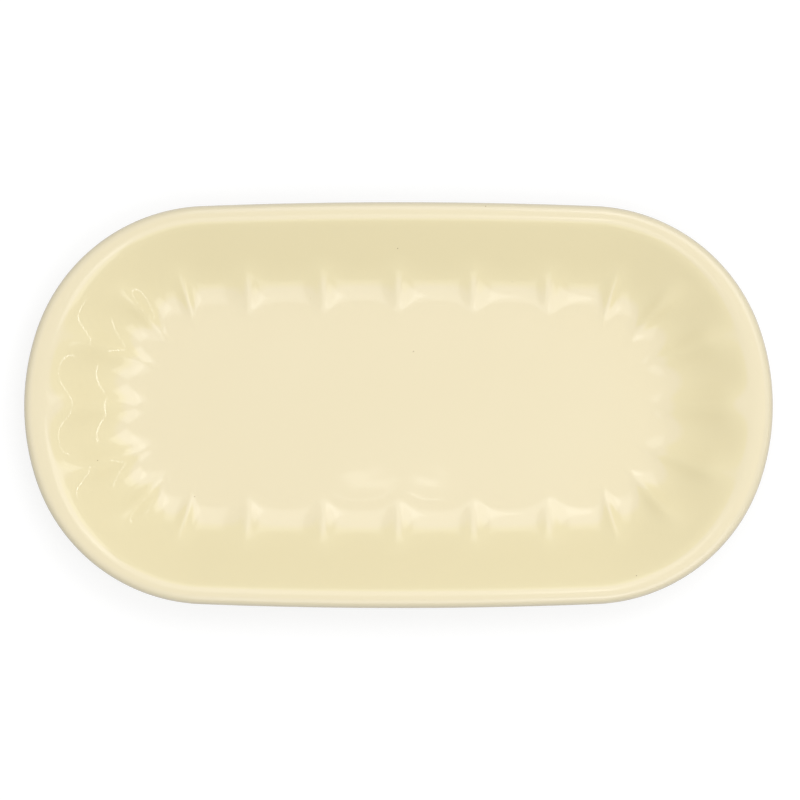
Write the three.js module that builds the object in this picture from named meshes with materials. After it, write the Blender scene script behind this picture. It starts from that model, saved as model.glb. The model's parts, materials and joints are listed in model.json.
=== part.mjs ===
// Oval serving platter in stoneware, fired in one piece: a clay body with a foot ring under it, a ring
// of concave flutes round its wall, and a cream glaze over all but the foot that it stands on.
//
// Millimetres, +Z up. The origin is on the table, under the middle of the platter, and +X is its length.
// A place on the platter is given by its station, a point along the outline, by its inset, the distance
// in from the outline and square to it, and by its height. Across a flute, -1 and 1 are its two ridges
// and 0 is its middle.
import * as THREE from "three";

// Plan: eight tangent arcs, alike in all four quarters
const LENGTH = 350;
const WIDTH = 190;
const END_FLATTENING = 16; // radius of the end arcs beyond half the width
const SHOULDER_TIGHTENING = 10.3; // half the width beyond the radius of the shoulder arcs
const SIDE_BOW = 1.75; // how far the middle of a long side stands out past the shoulder arcs

// Heights
const HEIGHT = 30;
const FOOT_HEIGHT = 3; // from the table to the underside of the floor

// Lip and wall
const WALL_THICKNESS = 6; // of the floor too
const LIP_REACH = 3.4; // inset of the highest line of the lip

// Flutes
const FLUTE_COUNT = 24;
const FLUTE_SPACING_INSET = 9; // inset of the line along which the ridges are evenly spaced
const FLUTE_SWEEP = 7; // how much further in the ridges stand than the middles of the flutes

// Wall and flutes at the middle of a long side, and at the tip of an end
const SIDE_LIP_CURVE = 8.5; // inset that the curve under the lip takes up
const END_LIP_CURVE = 15;
const SIDE_WALL_FOOT = 52; // inset where the middles of the flutes run out into the floor
const END_WALL_FOOT = 61;
const SIDE_FOOT_CURVE = 28; // inset that the curve at the foot of the wall takes up
const END_FOOT_CURVE = 40;
const SIDE_FLUTE_TOP = 23; // inset where the flutes begin
const END_FLUTE_TOP = 8;
const SIDE_FLUTE_FULL = 48; // inset from which they are fully swept
const END_FLUTE_FULL = 24;
const SIDE_FLUTE_POWER = 3; // the higher it is, the flatter their middles
const END_FLUTE_POWER = 2;
const SIDE_RIDGE_ROUNDING = 6.5; // where two of them meet
const END_RIDGE_ROUNDING = 10;

// Foot ring
const FOOT_INSET = 44;
const FOOT_WIDTH = 6;
const FOOT_CHAMFER = 0.8;
const BARE_HEIGHT = 1.6; // height of the unglazed clay at the foot

// Glaze
const GLAZE_THICKNESS = 0.4;

// Fineness of the facets
const STATIONS_PER_FLUTE = 6;
const INSIDE_ROWS = 10;
const INSIDE_CROWDING = 1.3; // the higher it is, the closer the rows lie near the lip
const NOSE_ROWS = 2; // in each half of the lip's nose
const OUTSIDE_ROWS = 6;

// What follows from the driving dimensions
const FLOOR = FOOT_HEIGHT + WALL_THICKNESS;
const FLOOR_INSET = Math.max(SIDE_WALL_FOOT, END_WALL_FOOT) + FLUTE_SWEEP;
const WALL_DROP = HEIGHT - FLOOR;
const quarterOutline = outlineArcs();
const stations = outlineStations();

// The end, shoulder and side arcs of one quarter, from the tip of the end to the middle of the side
function outlineArcs() {
  const halfLength = LENGTH / 2;
  const halfWidth = WIDTH / 2;
  const endRadius = halfWidth + END_FLATTENING;
  const endX = halfLength - endRadius;
  const shoulderRadius = halfWidth - SHOULDER_TIGHTENING;
  const shoulderY = SHOULDER_TIGHTENING - SIDE_BOW;
  const shoulderX = endX + Math.sqrt((endRadius - shoulderRadius) ** 2 - shoulderY ** 2);
  const rise = halfWidth - shoulderY;
  const sideRadius = (shoulderX ** 2 + rise ** 2 - shoulderRadius ** 2) / (2 * (rise - shoulderRadius));
  const sideY = halfWidth - sideRadius;
  const endAngle = Math.atan2(shoulderY, shoulderX - endX);
  const sideAngle = Math.atan2(shoulderY - sideY, shoulderX);
  return [
    { x: endX, y: 0, radius: endRadius, from: 0, to: endAngle },
    { x: shoulderX, y: shoulderY, radius: shoulderRadius, from: endAngle, to: sideAngle },
    { x: 0, y: sideY, radius: sideRadius, from: sideAngle, to: Math.PI / 2 },
  ];
}

// Stations once round the outline, closer together near the ridges, with a ridge at the tip of each end.
// A station's endness is 1 at the tip of an end and 0 at the middle of a long side.
function outlineStations() {
  const count = FLUTE_COUNT * STATIONS_PER_FLUTE;
  const lengthOf = (arc) => (arc.radius - FLUTE_SPACING_INSET) * (arc.to - arc.from);
  const quarterLength = quarterOutline.reduce((sum, arc) => sum + lengthOf(arc), 0);
  const found = [];
  for (let index = 0; index < count; index += 1) {
    const flute = Math.floor(index / STATIONS_PER_FLUTE);
    const across = -Math.cos((Math.PI * (index % STATIONS_PER_FLUTE)) / STATIONS_PER_FLUTE);
    const quarters = (4 * (flute + (across + 1) / 2)) / FLUTE_COUNT;
    const quarter = Math.floor(quarters);
    const along = quarter % 2 === 0 ? quarters - quarter : 1 - (quarters - quarter);
    let left = along * quarterLength;
    let arc = quarterOutline[0];
    for (const next of quarterOutline.slice(1)) {
      if (left <= lengthOf(arc)) break;
      left -= lengthOf(arc);
      arc = next;
    }
    const angle = arc.from + left / (arc.radius - FLUTE_SPACING_INSET);
    const endness = Math.cos(angle) ** 2;
    const signX = quarter === 1 || quarter === 2 ? -1 : 1;
    const signY = quarter >= 2 ? -1 : 1;
    found.push({ arc, angle, signX, signY, across, endness });
  }
  return found;
}

// The point of a station at a section point, whose x is its inset and y its height
function stationPoint(station, sectionPoint) {
  const { arc, angle, signX, signY } = station;
  const reach = arc.radius - sectionPoint.x;
  const x = arc.x + reach * Math.cos(angle);
  const y = arc.y + reach * Math.sin(angle);
  return new THREE.Vector3(signX * x, signY * y, sectionPoint.y);
}

// The larger of two heights, with the corner between them rounded
function roundedMax(a, b, rounding) {
  const overlap = Math.max(rounding - Math.abs(a - b), 0);
  return Math.max(a, b) + overlap ** 2 / (4 * rounding);
}

// The smaller of two heights, with the corner between them rounded
function roundedMin(a, b, rounding) {
  return -roundedMax(-a, -b, rounding);
}

// A size at a station, which changes from the middle of a long side to the tip of an end
function fromSideToEnd(station, side, end) {
  return THREE.MathUtils.lerp(side, end, station.endness);
}

// How far a line has fallen that is level up to the start and turns down to a slope of 1 at the end
function curveFall(inset, start, end) {
  const along = (inset - start) / (end - start);
  const bend = THREE.MathUtils.clamp(along, 0, 1);
  return (end - start) * (bend ** 3 - bend ** 4 / 2 + Math.max(along - 1, 0));
}

// At a station, the inset where the curve under the lip ends, those where the curve at the foot of the
// wall begins and ends, and the slope of the straight run
function wallLine(station) {
  const lipEnd = LIP_REACH + fromSideToEnd(station, SIDE_LIP_CURVE, END_LIP_CURVE);
  const footEnd = fromSideToEnd(station, SIDE_WALL_FOOT, END_WALL_FOOT);
  const footStart = footEnd - fromSideToEnd(station, SIDE_FOOT_CURVE, END_FOOT_CURVE);
  const run = (footStart + footEnd) / 2 - (LIP_REACH + lipEnd) / 2;
  return { lipEnd, footStart, footEnd, slope: WALL_DROP / run };
}

// The wall's line: a curve under the lip, a straight run, and a curve that eases into the floor
function wallHeight(inset, station) {
  const { lipEnd, footStart, footEnd, slope } = wallLine(station);
  return HEIGHT - slope * (curveFall(inset, LIP_REACH, lipEnd) - curveFall(inset, footStart, footEnd));
}

// How steeply the wall's line falls, as height over inset
function wallSlope(inset, station) {
  const { lipEnd, footStart, footEnd, slope } = wallLine(station);
  const down = THREE.MathUtils.smoothstep(inset, LIP_REACH, lipEnd);
  const back = THREE.MathUtils.smoothstep(inset, footStart, footEnd);
  return slope * (down - back);
}

// How far the wall stands in from the middle of its flute: nothing there, and most at the ridges
function fluteSweep(inset, station) {
  const top = fromSideToEnd(station, SIDE_FLUTE_TOP, END_FLUTE_TOP);
  const full = fromSideToEnd(station, SIDE_FLUTE_FULL, END_FLUTE_FULL);
  const power = fromSideToEnd(station, SIDE_FLUTE_POWER, END_FLUTE_POWER);
  const rounding = fromSideToEnd(station, SIDE_RIDGE_ROUNDING, END_RIDGE_ROUNDING);
  const fromMiddle = Math.abs(station.across);
  const own = FLUTE_SWEEP * fromMiddle ** power;
  const neighbour = FLUTE_SWEEP * (2 - fromMiddle) ** power;
  return THREE.MathUtils.smoothstep(inset, top, full) * roundedMin(own, neighbour, rounding);
}

// Height of the glazed inside
function insideHeight(inset, station) {
  return wallHeight(inset - fluteSweep(inset, station), station);
}

// Height of the glazed outside, under a wall of even thickness, where the flutes show as lobes
function outsideHeight(inset, station) {
  const swept = inset - fluteSweep(inset, station);
  return wallHeight(swept, station) - WALL_THICKNESS * Math.hypot(1, wallSlope(swept, station));
}

// Evenly spread values from first to last, both included
function spread(first, last, steps) {
  return Array.from({ length: steps + 1 }, (_, step) => THREE.MathUtils.lerp(first, last, step / steps));
}

// Section of the glazed surface: floor, inside, lip, outside, then down the foot to the bare clay
function glazedSection(station) {
  const half = WALL_THICKNESS / 2;
  const nose = new THREE.EllipseCurve(LIP_REACH, HEIGHT - half, LIP_REACH, half, Math.PI / 2, 1.5 * Math.PI);
  const insideShares = spread(1, 0, INSIDE_ROWS).slice(0, -1);
  const insideInset = (share) => THREE.MathUtils.lerp(LIP_REACH, FLOOR_INSET, share ** INSIDE_CROWDING);
  const insideInsets = insideShares.map(insideInset);
  const outsideInsets = spread(LIP_REACH, FOOT_INSET, OUTSIDE_ROWS).slice(1);
  return [
    ...insideInsets.map((inset) => new THREE.Vector2(inset, insideHeight(inset, station))),
    ...nose.getPoints(2 * NOSE_ROWS),
    ...outsideInsets.map((inset) => new THREE.Vector2(inset, outsideHeight(inset, station))),
    new THREE.Vector2(FOOT_INSET, BARE_HEIGHT),
  ];
}

// Section of the glazed base, from the bare clay up the inside of the foot ring to the underside
function glazedBaseSection() {
  const inset = FOOT_INSET + FOOT_WIDTH;
  return [new THREE.Vector2(inset, BARE_HEIGHT), new THREE.Vector2(inset, FOOT_HEIGHT)];
}

// The clay under a glazed section: the same line set back by the glaze, with mitred corners. The clay
// lies on the left of the line. A flat run goes on level past the open end that flatEnd names.
function clayUnder(section, flatEnd) {
  const level = new THREE.Vector2(-1, 0);
  const normalOf = (direction) => new THREE.Vector2(-direction.y, direction.x).normalize();
  const directionTo = (index) => section[index].clone().sub(section[index - 1]);
  const last = section.length - 1;
  return section.map((point, index) => {
    const before = index > 0 ? normalOf(directionTo(index)) : null;
    const after = index < last ? normalOf(directionTo(index + 1)) : null;
    const first = before ?? (flatEnd === "start" ? normalOf(level) : after);
    const second = after ?? (flatEnd === "end" ? normalOf(level).negate() : before);
    const mitre = first.clone().add(second).normalize();
    return point.clone().addScaledVector(mitre, GLAZE_THICKNESS / mitre.dot(first));
  });
}

// The bare foot, from its outer side to its inner side
function bareFootSection() {
  const outer = FOOT_INSET + GLAZE_THICKNESS;
  const inner = FOOT_INSET + FOOT_WIDTH - GLAZE_THICKNESS;
  return [
    new THREE.Vector2(outer, FOOT_CHAMFER),
    new THREE.Vector2(outer + FOOT_CHAMFER, 0),
    new THREE.Vector2(inner - FOOT_CHAMFER, 0),
    new THREE.Vector2(inner, FOOT_CHAMFER),
  ];
}

// A closed solid swept once round the platter from the section at each station. It is closed by a flat
// cap inside its first ring, which faces up, and one inside its last ring, which faces down.
function sweptSolid(sectionOf) {
  const columnAt = (station) => sectionOf(station).map((point) => stationPoint(station, point));
  const grid = stations.map(columnAt);
  const rowCount = grid[0].length;
  const columnCount = grid.length;
  const indexOf = (column, row) => (column % columnCount) * rowCount + row;
  const points = grid.flat();
  const triangles = [];
  for (let column = 0; column < columnCount; column += 1) {
    for (let row = 0; row + 1 < rowCount; row += 1) {
      const a = indexOf(column, row);
      const b = indexOf(column, row + 1);
      const c = indexOf(column + 1, row + 1);
      const d = indexOf(column + 1, row);
      const shortAcross = points[a].distanceToSquared(points[c]) <= points[b].distanceToSquared(points[d]);
      triangles.push(...(shortAcross ? [a, b, c, a, c, d] : [a, b, d, b, c, d]));
    }
  }
  const ring = grid.map((column) => new THREE.Vector2(column[0].x, column[0].y));
  const lastRing = grid.map((column) => new THREE.Vector2(column[rowCount - 1].x, column[rowCount - 1].y));
  for (const [a, b, c] of THREE.ShapeUtils.triangulateShape(ring, [])) {
    triangles.push(indexOf(a, 0), indexOf(b, 0), indexOf(c, 0));
  }
  for (const [a, b, c] of THREE.ShapeUtils.triangulateShape(lastRing, [])) {
    triangles.push(indexOf(a, rowCount - 1), indexOf(c, rowCount - 1), indexOf(b, rowCount - 1));
  }
  const geometry = new THREE.BufferGeometry().setFromPoints(points);
  geometry.setIndex(triangles);
  geometry.computeVertexNormals();
  return geometry;
}

function clayBody() {
  const base = clayUnder(glazedBaseSection(), "end");
  const geometry = sweptSolid((station) => [
    ...clayUnder(glazedSection(station), "start"),
    ...bareFootSection(),
    ...base,
  ]);
  const material = new THREE.MeshStandardMaterial({ color: 0xd9c6a3, roughness: 0.85, metalness: 0 });
  return namedMesh("clay_body", geometry, material);
}

function glazeCoat() {
  const geometry = sweptSolid((station) => {
    const glazed = glazedSection(station);
    return [...glazed, ...clayUnder(glazed, "start").reverse()];
  });
  const material = new THREE.MeshStandardMaterial({ color: 0xf3e7c4, roughness: 0.15, metalness: 0 });
  return namedMesh("glaze_coat", geometry, material);
}

function baseGlaze() {
  const glazed = glazedBaseSection();
  const section = [...clayUnder(glazed, "end").reverse(), ...glazed];
  const material = new THREE.MeshStandardMaterial({ color: 0xf1e4c0, roughness: 0.2, metalness: 0 });
  return namedMesh("base_glaze", sweptSolid(() => section), material);
}

function namedMesh(name, geometry, material) {
  const mesh = new THREE.Mesh(geometry, material);
  mesh.name = name;
  return mesh;
}

const platter = new THREE.Group();
platter.add(clayBody(), glazeCoat(), baseGlaze());
export default platter;
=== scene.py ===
"""Oval serving platter in glazed stoneware: fine meshes, materials, light and camera around the frame.

Metres, +Z up, +X along the platter's length. A place on the platter is given by its station, a point along
the outline, by its inset, the distance in from the outline and square to it, and by its height. Across a
flute, -1 and 1 are its two ridges and 0 is its middle.
"""
import json
import math
from types import SimpleNamespace

import bpy
import numpy as np
from mathutils import Matrix, Vector


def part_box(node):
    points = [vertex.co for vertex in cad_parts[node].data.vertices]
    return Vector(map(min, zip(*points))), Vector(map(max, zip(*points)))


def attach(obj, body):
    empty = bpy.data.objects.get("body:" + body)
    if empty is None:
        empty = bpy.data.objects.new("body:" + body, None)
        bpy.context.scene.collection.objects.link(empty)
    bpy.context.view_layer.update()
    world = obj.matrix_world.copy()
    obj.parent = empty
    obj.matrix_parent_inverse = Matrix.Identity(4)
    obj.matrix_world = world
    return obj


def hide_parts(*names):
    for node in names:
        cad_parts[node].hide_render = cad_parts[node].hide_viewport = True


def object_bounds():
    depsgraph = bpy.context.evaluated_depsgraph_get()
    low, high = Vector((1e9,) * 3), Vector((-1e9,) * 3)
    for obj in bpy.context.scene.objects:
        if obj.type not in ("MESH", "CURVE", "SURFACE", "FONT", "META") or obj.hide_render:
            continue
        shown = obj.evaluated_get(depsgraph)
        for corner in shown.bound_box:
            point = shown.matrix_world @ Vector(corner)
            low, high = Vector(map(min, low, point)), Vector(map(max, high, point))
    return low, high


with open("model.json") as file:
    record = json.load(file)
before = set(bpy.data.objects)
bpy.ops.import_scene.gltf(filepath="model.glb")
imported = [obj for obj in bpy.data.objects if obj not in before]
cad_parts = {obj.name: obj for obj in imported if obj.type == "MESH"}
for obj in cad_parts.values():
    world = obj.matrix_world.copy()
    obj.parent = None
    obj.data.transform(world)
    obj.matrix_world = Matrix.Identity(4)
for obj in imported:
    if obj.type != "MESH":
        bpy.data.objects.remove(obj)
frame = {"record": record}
cad_low, cad_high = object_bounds()

# Overall sizes, from the frame
HALF_LENGTH = cad_high.x
HALF_WIDTH = cad_high.y
HEIGHT = cad_high.z
BARE_HEIGHT, CLAY_UNDERSIDE = (corner.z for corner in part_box("base_glaze"))
FLOOR = next(m for m in frame["record"]["mounts"] if m["name"] == "well_floor")["pos_m"][2]

# Plan: eight tangent arcs, alike in all four quarters
END_FLATTENING = 0.016  # radius of the end arcs beyond half the width
SHOULDER_TIGHTENING = 0.0103  # half the width beyond the radius of the shoulder arcs
SIDE_BOW = 0.00175  # how far the middle of a long side stands out past the shoulder arcs

# Lip and wall
WALL_THICKNESS = 0.006  # of the floor too
LIP_REACH = 0.0034  # inset of the highest line of the lip

# Flutes
FLUTE_COUNT = 24
FLUTE_SPACING_INSET = 0.009  # inset of the line along which the ridges are evenly spaced
FLUTE_SWEEP = 0.007  # how much further in the ridges stand than the middles of the flutes

# Wall and flutes at the middle of a long side, and at the tip of an end
SIDE_LIP_CURVE = 0.0085  # inset that the curve under the lip takes up
END_LIP_CURVE = 0.015
SIDE_WALL_FOOT = 0.052  # inset where the middles of the flutes run out into the floor
END_WALL_FOOT = 0.061
SIDE_FOOT_CURVE = 0.028  # inset that the curve at the foot of the wall takes up
END_FOOT_CURVE = 0.040
SIDE_FLUTE_TOP = 0.023  # inset where the flutes begin
END_FLUTE_TOP = 0.008
SIDE_FLUTE_FULL = 0.048  # inset from which they are fully swept
END_FLUTE_FULL = 0.024
SIDE_FLUTE_POWER = 3  # the higher it is, the flatter their middles
END_FLUTE_POWER = 2
SIDE_RIDGE_ROUNDING = 0.0065  # where two of them meet
END_RIDGE_ROUNDING = 0.010

# Coat of glaze and foot ring
GLAZE_THICKNESS = 0.0004
FOOT_INSET = 0.044
FOOT_WIDTH = 0.006
FOOT_ROUNDING = 0.0008
BASE_COVE = 0.0012  # radius of the glaze between the foot ring and the underside

# Fineness of the meshes
STATIONS_PER_FLUTE = 20
INSIDE_ROWS = 84
NOSE_ROWS = 10  # in each half of the lip's nose
OUTSIDE_ROWS = 40
ROUND_ROWS = 5  # in a quarter round
CLAY_EVERY = 3  # rows of glaze to one row of the clay under it

# Look of the glaze
GLAZE_ROUGHNESS = 0.04
GLAZE_IOR = 1.5
LEVEL_THIN = (0.900, 0.805, 0.560, 1.0)
LEVEL_THICK = (0.885, 0.785, 0.535, 1.0)
CLOUD_SCALE = 18.0  # of the drift between the thin and the thick colour
CLOUD_DETAIL = 3.0
# Painted shade on the wall's slopes, where the glaze also lies a little thicker
SLOPE_SHADE_AND_POOL_COLOUR = (0.886, 0.788, 0.498, 1.0)
SLOPE_STARTS = 0.952  # upward part of the normal where the painted shade of the slope begins
SLOPE_FULL = 0.925
# Painted shade along the lip's outer edge, where it turns down and away from the lamps
LIP_EDGE_SHADE_COLOUR = (0.795, 0.718, 0.540, 1.0)
LIP_EDGE_SHADE_WIDTH = 0.0045
SPECK_COLOUR = (0.50, 0.39, 0.22, 1.0)
SPECK_SCALE = 55.0
SPECK_RADIUS = 0.00035
WAVE_SCALE = 55.0  # of the waves in the surface
WAVE_DETAIL = 1.0
WAVE_HEIGHT = 0.00006

# Look of the bare clay
CLAY_DARK = (0.60, 0.48, 0.30, 1.0)
CLAY_PALE = (0.76, 0.65, 0.45, 1.0)
CLAY_ROUGHNESS = 0.85
GRAIN_SCALE = 900.0
GRAIN_DETAIL = 4.0
GRAIN_HEIGHT = 0.00012

# Studio
ROOM_COLOUR = (1.0, 1.0, 1.0, 1.0)
ROOM_LEVEL = 0.452
ROOM_LEAN = (0.04, 0.06, 0.34)  # how much brighter the room is toward +X, +Y and +Z
FLOOR_SIZE = 10.0
BACKDROP_HEIGHT = 1.2
FLOOR_GLOW = 0.72
SHADOW_COLOUR = (0.36, 0.36, 0.36, 1.0)  # what the lamps add to the glow, and a shadow takes from it
BOUNCE_COLOUR = (0.22, 0.22, 0.22, 1.0)
EDGE_FADE = 8  # the higher it is, the nearer to its edge a softbox fades
SOFTBOXES = (
    # name, direction to it as degrees off straight up and round from +X, distance, width, length, radiance
    ("key_back", 28, 45, 1.5, 0.84, 0.60, 1.86),
    ("key_front", 26, -45, 1.5, 0.80, 0.54, 1.70),
    ("fill_back", 28.5, 88, 1.5, 1.09, 0.62, 1.18),
    ("fill_front", 23.5, -88, 1.5, 1.00, 0.62, 1.14),
    ("ceiling_left", 1.2, 180, 1.5, 0.050, 0.011, 1.7),
    ("ceiling_right", 1.1, 0, 1.5, 0.030, 0.011, 2.4),
    ("strip_right", 50, 0, 1.5, 0.026, 1.60, 6.2),
)

# Camera, almost straight above
CAMERA_DISTANCE = 1.35
CAMERA_ELEVATION = 87.0
SENSOR_WIDTH = 36.0  # in millimetres
IMAGE_WIDTH_AT_LIP = 0.3732
AIM = (0.0007, 0.0019)  # point of the lip's level in the middle of the image

# What follows from the sizes
FOOT_HEIGHT = CLAY_UNDERSIDE - GLAZE_THICKNESS
FLOOR_INSET = max(SIDE_WALL_FOOT, END_WALL_FOOT) + FLUTE_SWEEP


def outline_arcs():
    """Centre x and y, radius, first and last angle of the end, shoulder and side arcs of one quarter."""
    end_radius = HALF_WIDTH + END_FLATTENING
    end_x = HALF_LENGTH - end_radius
    shoulder_radius = HALF_WIDTH - SHOULDER_TIGHTENING
    shoulder_y = SHOULDER_TIGHTENING - SIDE_BOW
    shoulder_x = end_x + math.sqrt((end_radius - shoulder_radius) ** 2 - shoulder_y**2)
    rise = HALF_WIDTH - shoulder_y
    side_radius = (shoulder_x**2 + rise**2 - shoulder_radius**2) / (2 * (rise - shoulder_radius))
    side_y = HALF_WIDTH - side_radius
    end_angle = math.atan2(shoulder_y, shoulder_x - end_x)
    side_angle = math.atan2(shoulder_y - side_y, shoulder_x)
    return np.array([
        (end_x, 0.0, end_radius, 0.0, end_angle),
        (shoulder_x, shoulder_y, shoulder_radius, end_angle, side_angle),
        (0.0, side_y, side_radius, side_angle, math.pi / 2),
    ]).T


def outline_stations():
    """Stations once round the outline, closer together near the ridges, with a ridge at the tip of each end.
    Each has its place across its flute, its endness, which is 1 at the tip of an end and 0 at the middle of
    a long side, the centre and radius of its arc, its angle on that arc, and the signs of its quarter."""
    turn = np.arange(STATIONS_PER_FLUTE) / STATIONS_PER_FLUTE
    across = np.tile(-np.cos(math.pi * turn), FLUTE_COUNT)
    flute = np.repeat(np.arange(FLUTE_COUNT), STATIONS_PER_FLUTE)
    quarters = 4 * (flute + (across + 1) / 2) / FLUTE_COUNT
    quarter = np.floor(quarters).astype(int)
    along = np.where(quarter % 2 == 0, quarters - quarter, 1 - (quarters - quarter))
    centre_x, centre_y, radius, first, last = outline_arcs()
    lengths = (radius - FLUTE_SPACING_INSET) * (last - first)
    starts = np.concatenate([[0.0], np.cumsum(lengths)[:-1]])
    distance = along * lengths.sum()
    arc = np.searchsorted(starts, distance, side="right") - 1
    angle = first[arc] + (distance - starts[arc]) / (radius[arc] - FLUTE_SPACING_INSET)
    columns = {
        "across": across,
        "endness": np.cos(angle) ** 2,
        "centre_x": centre_x[arc],
        "centre_y": centre_y[arc],
        "radius": radius[arc],
        "angle": angle,
        "sign_x": np.where((quarter == 1) | (quarter == 2), -1.0, 1.0),
        "sign_y": np.where(quarter >= 2, -1.0, 1.0),
    }
    return SimpleNamespace(**{name: values[:, None] for name, values in columns.items()})


STATIONS = outline_stations()


def rounded_max(a, b, rounding):
    """The larger of two heights, with the corner between them rounded."""
    overlap = np.maximum(rounding - np.abs(a - b), 0)
    return np.maximum(a, b) + overlap**2 / (4 * rounding)


def rounded_min(a, b, rounding):
    """The smaller of two heights, with the corner between them rounded."""
    return -rounded_max(-a, -b, rounding)


def smoothstep(value, low, high):
    """0 up to the low value, 1 from the high value on, and a smooth rise between them."""
    x = np.clip((value - low) / (high - low), 0, 1)
    return x * x * (3 - 2 * x)


def from_side_to_end(side, end):
    """At each station, a size that changes from the middle of a long side to the tip of an end."""
    return side + (end - side) * STATIONS.endness


def flute_sweep(inset):
    """How far the wall stands in from the middle of its flute: nothing there, most at the ridges."""
    top = from_side_to_end(SIDE_FLUTE_TOP, END_FLUTE_TOP)
    full = from_side_to_end(SIDE_FLUTE_FULL, END_FLUTE_FULL)
    power = from_side_to_end(SIDE_FLUTE_POWER, END_FLUTE_POWER)
    rounding = from_side_to_end(SIDE_RIDGE_ROUNDING, END_RIDGE_ROUNDING)
    from_middle = np.abs(STATIONS.across)
    own = FLUTE_SWEEP * from_middle**power
    neighbour = FLUTE_SWEEP * (2 - from_middle) ** power
    return smoothstep(inset, top, full) * rounded_min(own, neighbour, rounding)


def curve_fall(inset, start, end):
    """How far a line has fallen that is level up to the start and turns down to a slope of 1 at the end."""
    along = (inset - start) / (end - start)
    bend = np.clip(along, 0, 1)
    return (end - start) * (bend**3 - bend**4 / 2 + np.maximum(along - 1, 0))


def wall_line():
    """At each station, the inset where the curve under the lip ends, those where the curve at the foot of
    the wall begins and ends, and the slope of the straight run."""
    lip_end = LIP_REACH + from_side_to_end(SIDE_LIP_CURVE, END_LIP_CURVE)
    foot_end = from_side_to_end(SIDE_WALL_FOOT, END_WALL_FOOT)
    foot_start = foot_end - from_side_to_end(SIDE_FOOT_CURVE, END_FOOT_CURVE)
    run = (foot_start + foot_end) / 2 - (LIP_REACH + lip_end) / 2
    return lip_end, foot_start, foot_end, (HEIGHT - FLOOR) / run


def wall_height(inset):
    """The wall's line: a curve under the lip, a straight run, and a curve that eases into the floor."""
    lip_end, foot_start, foot_end, slope = wall_line()
    return HEIGHT - slope * (curve_fall(inset, LIP_REACH, lip_end) - curve_fall(inset, foot_start, foot_end))


def wall_slope(inset):
    """How steeply the wall's line falls, as height over inset."""
    lip_end, foot_start, foot_end, slope = wall_line()
    return slope * (smoothstep(inset, LIP_REACH, lip_end) - smoothstep(inset, foot_start, foot_end))


def inside_height(inset):
    """Height of the glazed inside."""
    return wall_height(inset - flute_sweep(inset))


def outside_height(inset):
    """Height of the glazed outside, under a wall of even thickness, where the flutes show as lobes."""
    swept = inset - flute_sweep(inset)
    return wall_height(swept) - WALL_THICKNESS * np.hypot(1, wall_slope(swept))


def section(insets, heights):
    """Section points of every station, stacked as station, row, (inset, height)."""
    count = len(STATIONS.across)
    insets = np.broadcast_to(insets, (count, np.shape(insets)[-1]))
    heights = np.broadcast_to(heights, insets.shape)
    return np.stack([insets, heights], axis=2)


def quarter_round(centre_inset, centre_height, radius, first, last):
    """A quarter round of section, from the first angle to the last, alike at every station."""
    angle = np.linspace(first, last, ROUND_ROWS + 1)
    return section(centre_inset + radius * np.cos(angle), centre_height + radius * np.sin(angle))


def glazed_section():
    """The glazed surface: floor, inside, lip, outside, then down the foot to a round bead of glaze."""
    inside = np.linspace(FLOOR_INSET, LIP_REACH, INSIDE_ROWS + 1)[:-1]
    nose_angle = np.linspace(math.pi / 2, 1.5 * math.pi, 2 * NOSE_ROWS + 1)
    half = WALL_THICKNESS / 2
    nose = section(LIP_REACH * (1 + np.cos(nose_angle)), HEIGHT - half + half * np.sin(nose_angle))
    outside = np.linspace(LIP_REACH, FOOT_INSET, OUTSIDE_ROWS + 1)[1:]
    bead_inset = FOOT_INSET + GLAZE_THICKNESS
    bead_height = BARE_HEIGHT + GLAZE_THICKNESS
    bead = quarter_round(bead_inset, bead_height, GLAZE_THICKNESS, math.pi, 1.5 * math.pi)
    return np.concatenate([
        section(inside, inside_height(inside)),
        nose,
        section(outside, outside_height(outside)),
        bead,
    ], axis=1)


def base_section():
    """The glazed base: a round bead on the inside of the foot ring, then a cove into the underside."""
    inset = FOOT_INSET + FOOT_WIDTH
    bead_height = BARE_HEIGHT + GLAZE_THICKNESS
    bead = quarter_round(inset - GLAZE_THICKNESS, bead_height, GLAZE_THICKNESS, -math.pi / 2, 0)
    cove = quarter_round(inset + BASE_COVE, FOOT_HEIGHT - BASE_COVE, BASE_COVE, math.pi, math.pi / 2)
    return np.concatenate([bead, cove], axis=1)


def clay_under(glazed):
    """The clay under the glazed surface, set back by the glaze along the line of each section."""
    above_bead = glazed[:, :-ROUND_ROWS]
    coarse = np.concatenate([above_bead[:, ::CLAY_EVERY], above_bead[:, -1:]], axis=1)
    step = np.gradient(coarse, axis=1)
    step[:, 0] = (-1, 0)
    step[:, -1] = (0, -1)
    step /= np.linalg.norm(step, axis=2, keepdims=True)
    into_clay = np.stack([-step[:, :, 1], step[:, :, 0]], axis=2)
    return coarse + GLAZE_THICKNESS * into_clay


def foot_edge_section():
    """The bare foot with rounded edges, from its outer side to its inner side."""
    outer = FOOT_INSET + GLAZE_THICKNESS
    inner = FOOT_INSET + FOOT_WIDTH - GLAZE_THICKNESS
    radius = FOOT_ROUNDING
    return np.concatenate([
        quarter_round(outer + radius, radius, radius, math.pi, 1.5 * math.pi),
        quarter_round(inner - radius, radius, radius, -math.pi / 2, 0),
    ], axis=1)


def foot_inside_section():
    """The clay on the inside of the foot ring, from the bare band up to the underside."""
    inner = FOOT_INSET + FOOT_WIDTH - GLAZE_THICKNESS
    return section([inner, inner], [BARE_HEIGHT, CLAY_UNDERSIDE])


def cap_faces(columns, rows, row):
    """A flat cap inside one row: a ladder of faces between the two long halves of the row."""
    faces = []
    for step in range(columns // 2):
        rung = [step, step + 1, (columns - step - 1) % columns, (columns - step) % columns]
        faces.append([station * rows + row for station in dict.fromkeys(rung)])
    return faces


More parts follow.
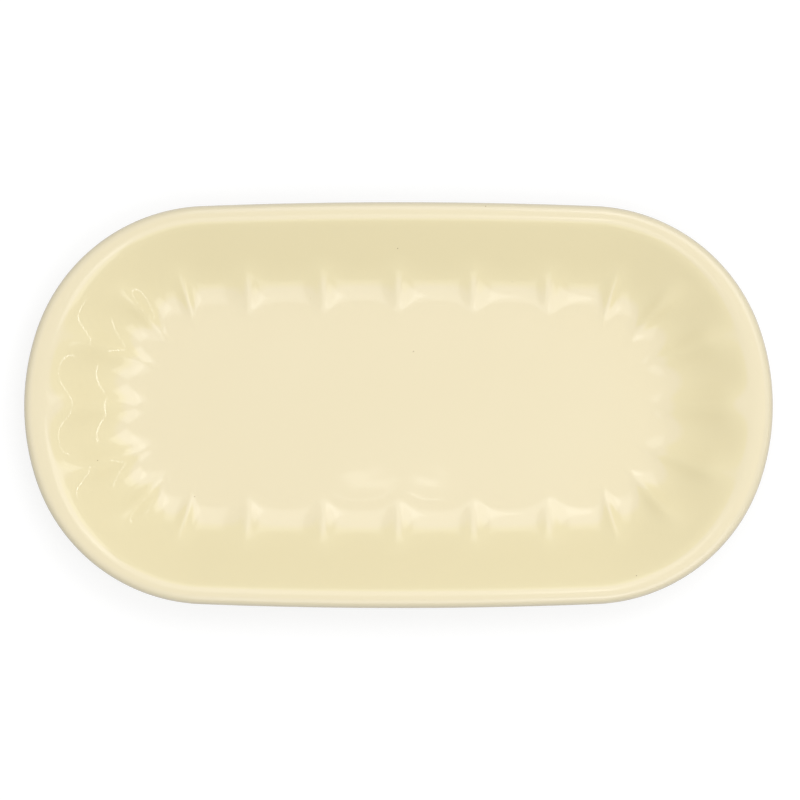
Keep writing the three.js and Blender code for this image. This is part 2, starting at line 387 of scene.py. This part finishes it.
def swept_mesh(name, points):
    """A closed mesh swept round the platter, with a flat cap inside its first and its last row."""
    inset, height = points[:, :, 0], points[:, :, 1]
    reach = STATIONS.radius - inset
    x = STATIONS.sign_x * (STATIONS.centre_x + reach * np.cos(STATIONS.angle))
    y = STATIONS.sign_y * (STATIONS.centre_y + reach * np.sin(STATIONS.angle))
    vertices = np.stack([x, y, height], axis=2).reshape(-1, 3)
    columns, rows = inset.shape
    column, row = np.meshgrid(np.arange(columns), np.arange(rows - 1), indexing="ij")
    here = column * rows + row
    following = (column + 1) % columns * rows + row
    faces = np.stack([here, here + 1, following + 1, following], axis=2).reshape(-1, 4).tolist()
    faces += cap_faces(columns, rows, 0)
    faces += [face[::-1] for face in cap_faces(columns, rows, rows - 1)]
    mesh = bpy.data.meshes.new(name)
    mesh.from_pydata(vertices.tolist(), [], faces)
    mesh.shade_smooth()
    mesh.attributes.new("inset", "FLOAT", "POINT").data.foreach_set("value", inset.ravel())
    return mesh


def node_adder(tree):
    """A function that adds a node to the tree and sets its inputs, each to a value or by a link."""

    def add(kind, inputs=None, **settings):
        node = tree.nodes.new(kind)
        for name, value in settings.items():
            setattr(node, name, value)
        for name, value in (inputs or {}).items():
            if isinstance(value, bpy.types.NodeSocket):
                tree.links.new(value, node.inputs[name])
            else:
                node.inputs[name].default_value = value
        return node

    return add


def new_material(name):
    """A material with an empty node tree, and a function that adds nodes to it."""
    material = bpy.data.materials.new(name)
    material.use_nodes = True
    material.node_tree.nodes.clear()
    return material, node_adder(material.node_tree)


def calculate(add, operation, first, second):
    """The result of an operation on two values or sockets."""
    return add("ShaderNodeMath", {0: first, 1: second}, operation=operation).outputs[0]


def share(add, value, start, full):
    """A share that is 0 where the value is at the start, and 1 where it is full."""
    node = add("ShaderNodeMapRange", {"Value": value, "From Min": start, "From Max": full})
    return node.outputs["Result"]


def mix(add, factor, first, second):
    """The first colour where the factor is 0, and the second where it is 1."""
    node = add("ShaderNodeMix", {"Factor": factor, "A": first, "B": second}, data_type="RGBA")
    return node.outputs["Result"]


def noise(add, scale, detail):
    """Soft noise that stays in place on the object."""
    place = add("ShaderNodeTexCoord").outputs["Object"]
    return add("ShaderNodeTexNoise", {"Vector": place, "Scale": scale, "Detail": detail}).outputs["Fac"]


def bumps(add, height, distance):
    """Normals of a surface that stands up by the distance where the height is 1."""
    node = add("ShaderNodeBump", {"Height": height, "Distance": distance, "Strength": 1.0})
    return node.outputs["Normal"]


def glaze_colour(add):
    """Cream, deeper on a slope by painted shade and thicker glaze, greyer at the lip's edge by painted
    shade, with a few specks.
    """
    coordinates = add("ShaderNodeTexCoord")
    facing = add("ShaderNodeSeparateXYZ", {"Vector": coordinates.outputs["Normal"]})
    inset = add("ShaderNodeAttribute", attribute_name="inset")
    spots = add("ShaderNodeTexVoronoi", {"Vector": coordinates.outputs["Object"], "Scale": SPECK_SCALE})
    speck_reach = SPECK_RADIUS * SPECK_SCALE
    # painted shade on the slopes, partly also thicker glaze there
    slope_shade_and_pool = share(add, facing.outputs["Z"], SLOPE_STARTS, SLOPE_FULL)
    # painted shade along the outer edge of the lip
    lip_edge_shade = share(add, inset.outputs["Fac"], LIP_EDGE_SHADE_WIDTH, 0.0)
    in_speck = share(add, spots.outputs["Distance"], speck_reach, speck_reach / 2)
    colour = mix(add, noise(add, CLOUD_SCALE, CLOUD_DETAIL), LEVEL_THICK, LEVEL_THIN)
    colour = mix(add, slope_shade_and_pool, colour, SLOPE_SHADE_AND_POOL_COLOUR)
    colour = mix(add, lip_edge_shade, colour, LIP_EDGE_SHADE_COLOUR)
    return mix(add, in_speck, colour, SPECK_COLOUR)


def glaze_material():
    """Glossy cream glaze with a slightly uneven surface."""
    material, add = new_material("cream_glaze")
    shader = add("ShaderNodeBsdfPrincipled", {
        "Base Color": glaze_colour(add),
        "Roughness": GLAZE_ROUGHNESS,
        "IOR": GLAZE_IOR,
        "Normal": bumps(add, noise(add, WAVE_SCALE, WAVE_DETAIL), WAVE_HEIGHT),
    })
    add("ShaderNodeOutputMaterial", {"Surface": shader.outputs["BSDF"]})
    return material


def clay_material():
    """Bare fired stoneware with a fine grain."""
    material, add = new_material("bare_clay")
    grain = noise(add, GRAIN_SCALE, GRAIN_DETAIL)
    shader = add("ShaderNodeBsdfPrincipled", {
        "Base Color": mix(add, grain, CLAY_DARK, CLAY_PALE),
        "Roughness": CLAY_ROUGHNESS,
        "Normal": bumps(add, grain, GRAIN_HEIGHT),
    })
    add("ShaderNodeOutputMaterial", {"Surface": shader.outputs["BSDF"]})
    return material


def add_piece(name, sections, node, material):
    """A fine mesh that stands for one CAD node, swept from sections that follow each other."""
    piece = bpy.data.objects.new(name, swept_mesh(name, np.concatenate(sections, axis=1)))
    bpy.context.scene.collection.objects.link(piece)
    piece.data.materials.append(material)
    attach(piece, "root")
    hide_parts(node)


def build_platter():
    """The coat of glaze, the glaze inside the foot ring, and the clay."""
    glazed = glazed_section()
    clay = clay_under(glazed)
    foot_inside = foot_inside_section()
    coat = [glazed, clay[:, ::-1]]
    base = [foot_inside[:, ::-1], base_section()]
    body = [clay, foot_edge_section(), foot_inside]
    glaze = glaze_material()
    add_piece("fluted_glaze", coat, "glaze_coat", glaze)
    add_piece("underside_glaze", base, "base_glaze", glaze)
    add_piece("fired_clay", body, "clay_body", clay_material())


def soften_edges(lamp):
    """Let a softbox fade toward its edges."""
    lamp.use_nodes = True
    tree = lamp.node_tree
    add = node_adder(tree)
    parts = add("ShaderNodeSeparateXYZ", {"Vector": add("ShaderNodeNewGeometry").outputs["Parametric"]})
    fades = []
    for part in ("X", "Y"):
        from_middle = calculate(add, "MULTIPLY", calculate(add, "SUBTRACT", parts.outputs[part], 0.5), 2)
        fades.append(calculate(add, "SUBTRACT", 1, calculate(add, "POWER", from_middle, EDGE_FADE)))
    tree.links.new(calculate(add, "MULTIPLY", *fades), tree.nodes["Emission"].inputs["Strength"])


def add_softbox(name, off_zenith, round_from_x, distance, width, length, radiance):
    """A rectangular area lamp that faces the platter, with its length square to its direction."""
    tilt = math.radians(off_zenith)
    turn = math.radians(round_from_x)
    towards = Vector((math.sin(tilt) * math.cos(turn), math.sin(tilt) * math.sin(turn), math.cos(tilt)))
    lamp = bpy.data.lights.new(name, "AREA")
    lamp.shape = "RECTANGLE"
    lamp.size = width
    lamp.size_y = length
    lamp.energy = radiance * math.pi * width * length
    soften_edges(lamp)
    holder = bpy.data.objects.new(name, lamp)
    side = Vector((-math.sin(turn), math.cos(turn), 0))
    axes = Matrix((side.cross(towards), side, towards)).transposed().to_4x4()
    holder.matrix_world = Matrix.Translation(towards * distance) @ axes
    bpy.context.scene.collection.objects.link(holder)


def add_room():
    """A grey room, brighter overhead."""
    world = bpy.data.worlds.new("studio")
    world.use_nodes = True
    tree = world.node_tree
    add = node_adder(tree)
    towards = add("ShaderNodeTexCoord").outputs["Generated"]
    lean = add("ShaderNodeVectorMath", {0: towards, 1: ROOM_LEAN}, operation="DOT_PRODUCT")
    background = tree.nodes["Background"]
    background.inputs["Color"].default_value = ROOM_COLOUR
    tree.links.new(calculate(add, "ADD", lean.outputs["Value"], ROOM_LEVEL), background.inputs["Strength"])
    bpy.context.scene.world = world


def white_material():
    """White as the eye, mirrors and glass see it, but a plain grey for the light that it sends back."""
    material, add = new_material("studio_white")
    rays = add("ShaderNodeLightPath")
    seen = rays.outputs["Is Camera Ray"]
    for ray in ("Is Glossy Ray", "Is Transmission Ray"):
        seen = calculate(add, "MAXIMUM", seen, rays.outputs[ray])
    grey = add("ShaderNodeBsdfDiffuse", {"Color": BOUNCE_COLOUR})
    shaded = add("ShaderNodeBsdfDiffuse", {"Color": SHADOW_COLOUR})
    glow = add("ShaderNodeEmission", {"Strength": FLOOR_GLOW})
    white = add("ShaderNodeAddShader", {0: shaded.outputs[0], 1: glow.outputs[0]})
    both = add("ShaderNodeMixShader", {"Fac": seen, 1: grey.outputs[0], 2: white.outputs[0]})
    add("ShaderNodeOutputMaterial", {"Surface": both.outputs[0]})
    return material


def add_stage_piece(name, corners, faces, material):
    """A plain surface of the studio."""
    mesh = bpy.data.meshes.new(name)
    mesh.from_pydata(corners, [], faces)
    mesh.materials.append(material)
    piece = bpy.data.objects.new(name, mesh)
    bpy.context.scene.collection.objects.link(piece)
    return piece


def add_floor():
    """A white floor that keeps the platter's shadow, and a backdrop round it that holds back no light."""
    white = white_material()
    half = FLOOR_SIZE / 2
    square = ((-half, -half), (half, -half), (half, half), (-half, half))
    low = [(x, y, 0) for x, y in square]
    high = [(x, y, BACKDROP_HEIGHT) for x, y in square]
    sides = [((side + 1) % 4, side, side + 4, (side + 1) % 4 + 4) for side in range(4)]
    add_stage_piece("studio_floor", low, [(0, 1, 2, 3)], white)
    backdrop = add_stage_piece("studio_backdrop", low + high, sides, white)
    backdrop.visible_diffuse = False
    backdrop.visible_shadow = False


def add_camera():
    """A camera that looks down on the platter, far enough off to show it nearly flat."""
    elevation = math.radians(CAMERA_ELEVATION)
    back = Vector((0, -math.cos(elevation), math.sin(elevation)))
    up = Vector((0, math.sin(elevation), math.cos(elevation)))
    target = Vector((*AIM, HEIGHT))
    data = bpy.data.cameras.new("camera")
    data.sensor_width = SENSOR_WIDTH
    data.lens = SENSOR_WIDTH * CAMERA_DISTANCE / IMAGE_WIDTH_AT_LIP
    camera = bpy.data.objects.new("camera", data)
    axes = Matrix((up.cross(back), up, back)).transposed().to_4x4()
    camera.matrix_world = Matrix.Translation(target + back * CAMERA_DISTANCE) @ axes
    bpy.context.scene.collection.objects.link(camera)
    bpy.context.scene.camera = camera


build_platter()
add_floor()
add_room()
for softbox in SOFTBOXES:
    add_softbox(*softbox)
add_camera()
bpy.context.scene.view_settings.view_transform = "Standard"
